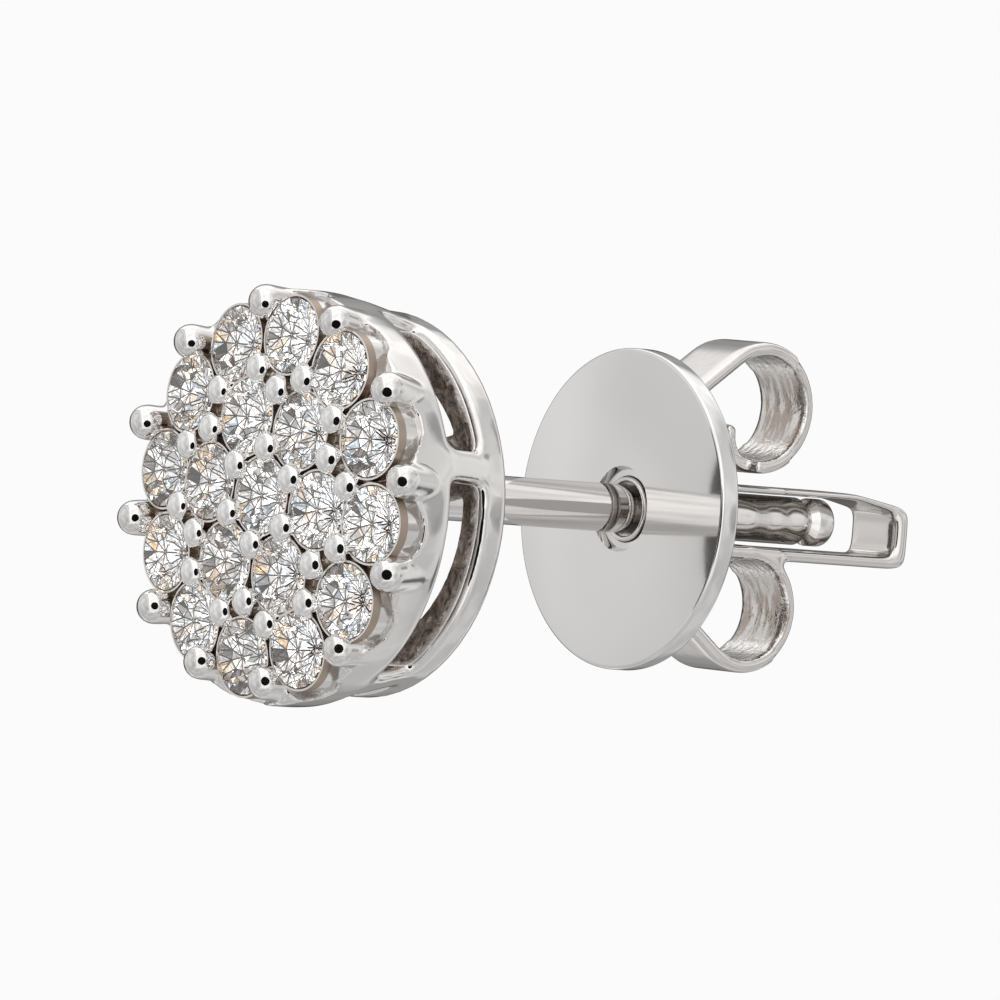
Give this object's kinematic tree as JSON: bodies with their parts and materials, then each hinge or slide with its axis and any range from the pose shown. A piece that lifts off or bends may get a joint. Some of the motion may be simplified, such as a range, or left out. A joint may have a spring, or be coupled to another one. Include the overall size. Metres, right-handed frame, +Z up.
{
  "type": "cluster stud earring with butterfly clutch",
  "caption": "Round cluster stud earring: small brilliants held by prongs in a pierced head, ear post, round friction disc and two-scroll butterfly clutch, lying on its side.",
  "frame": {"origin": "on the surface that the stud lies on, under the middle of its bounding box", "axes": "+Y from the stones' face along the post to the clutch, +Z up from the surface, +X to the right seen from the stones' side"},
  "size_m": [0.0079, 0.0158, 0.0077],
  "materials": {
    "white_gold": "polished",
    "white_gold_satin": "fine satin",
    "diamond": "faceted and polished"
  },
  "bodies": {
    "stud": {"setting": "white_gold", "stone_center": "diamond", "stone_inner_1": "diamond", "stone_inner_2": "diamond", "stone_inner_3": "diamond", "stone_inner_4": "diamond", "stone_inner_5": "diamond", "stone_inner_6": "diamond", "stone_outer_1": "diamond", "stone_outer_2": "diamond", "stone_outer_3": "diamond", "stone_outer_4": "diamond", "stone_outer_5": "diamond", "stone_outer_6": "diamond", "stone_outer_7": "diamond", "stone_outer_8": "diamond", "stone_outer_9": "diamond", "stone_outer_10": "diamond", "stone_outer_11": "diamond", "stone_outer_12": "diamond"},
    "clutch": {"clutch_disc": "white_gold_satin", "clutch_butterfly": "white_gold"}
  },
  "joints": [
    {"name": "clutch_slide", "type": "slide", "parent": "stud", "child": "clutch", "axis": [0, 0.9938, -0.1113], "range_m": [-0.0003, 0.0055]}
  ]
}
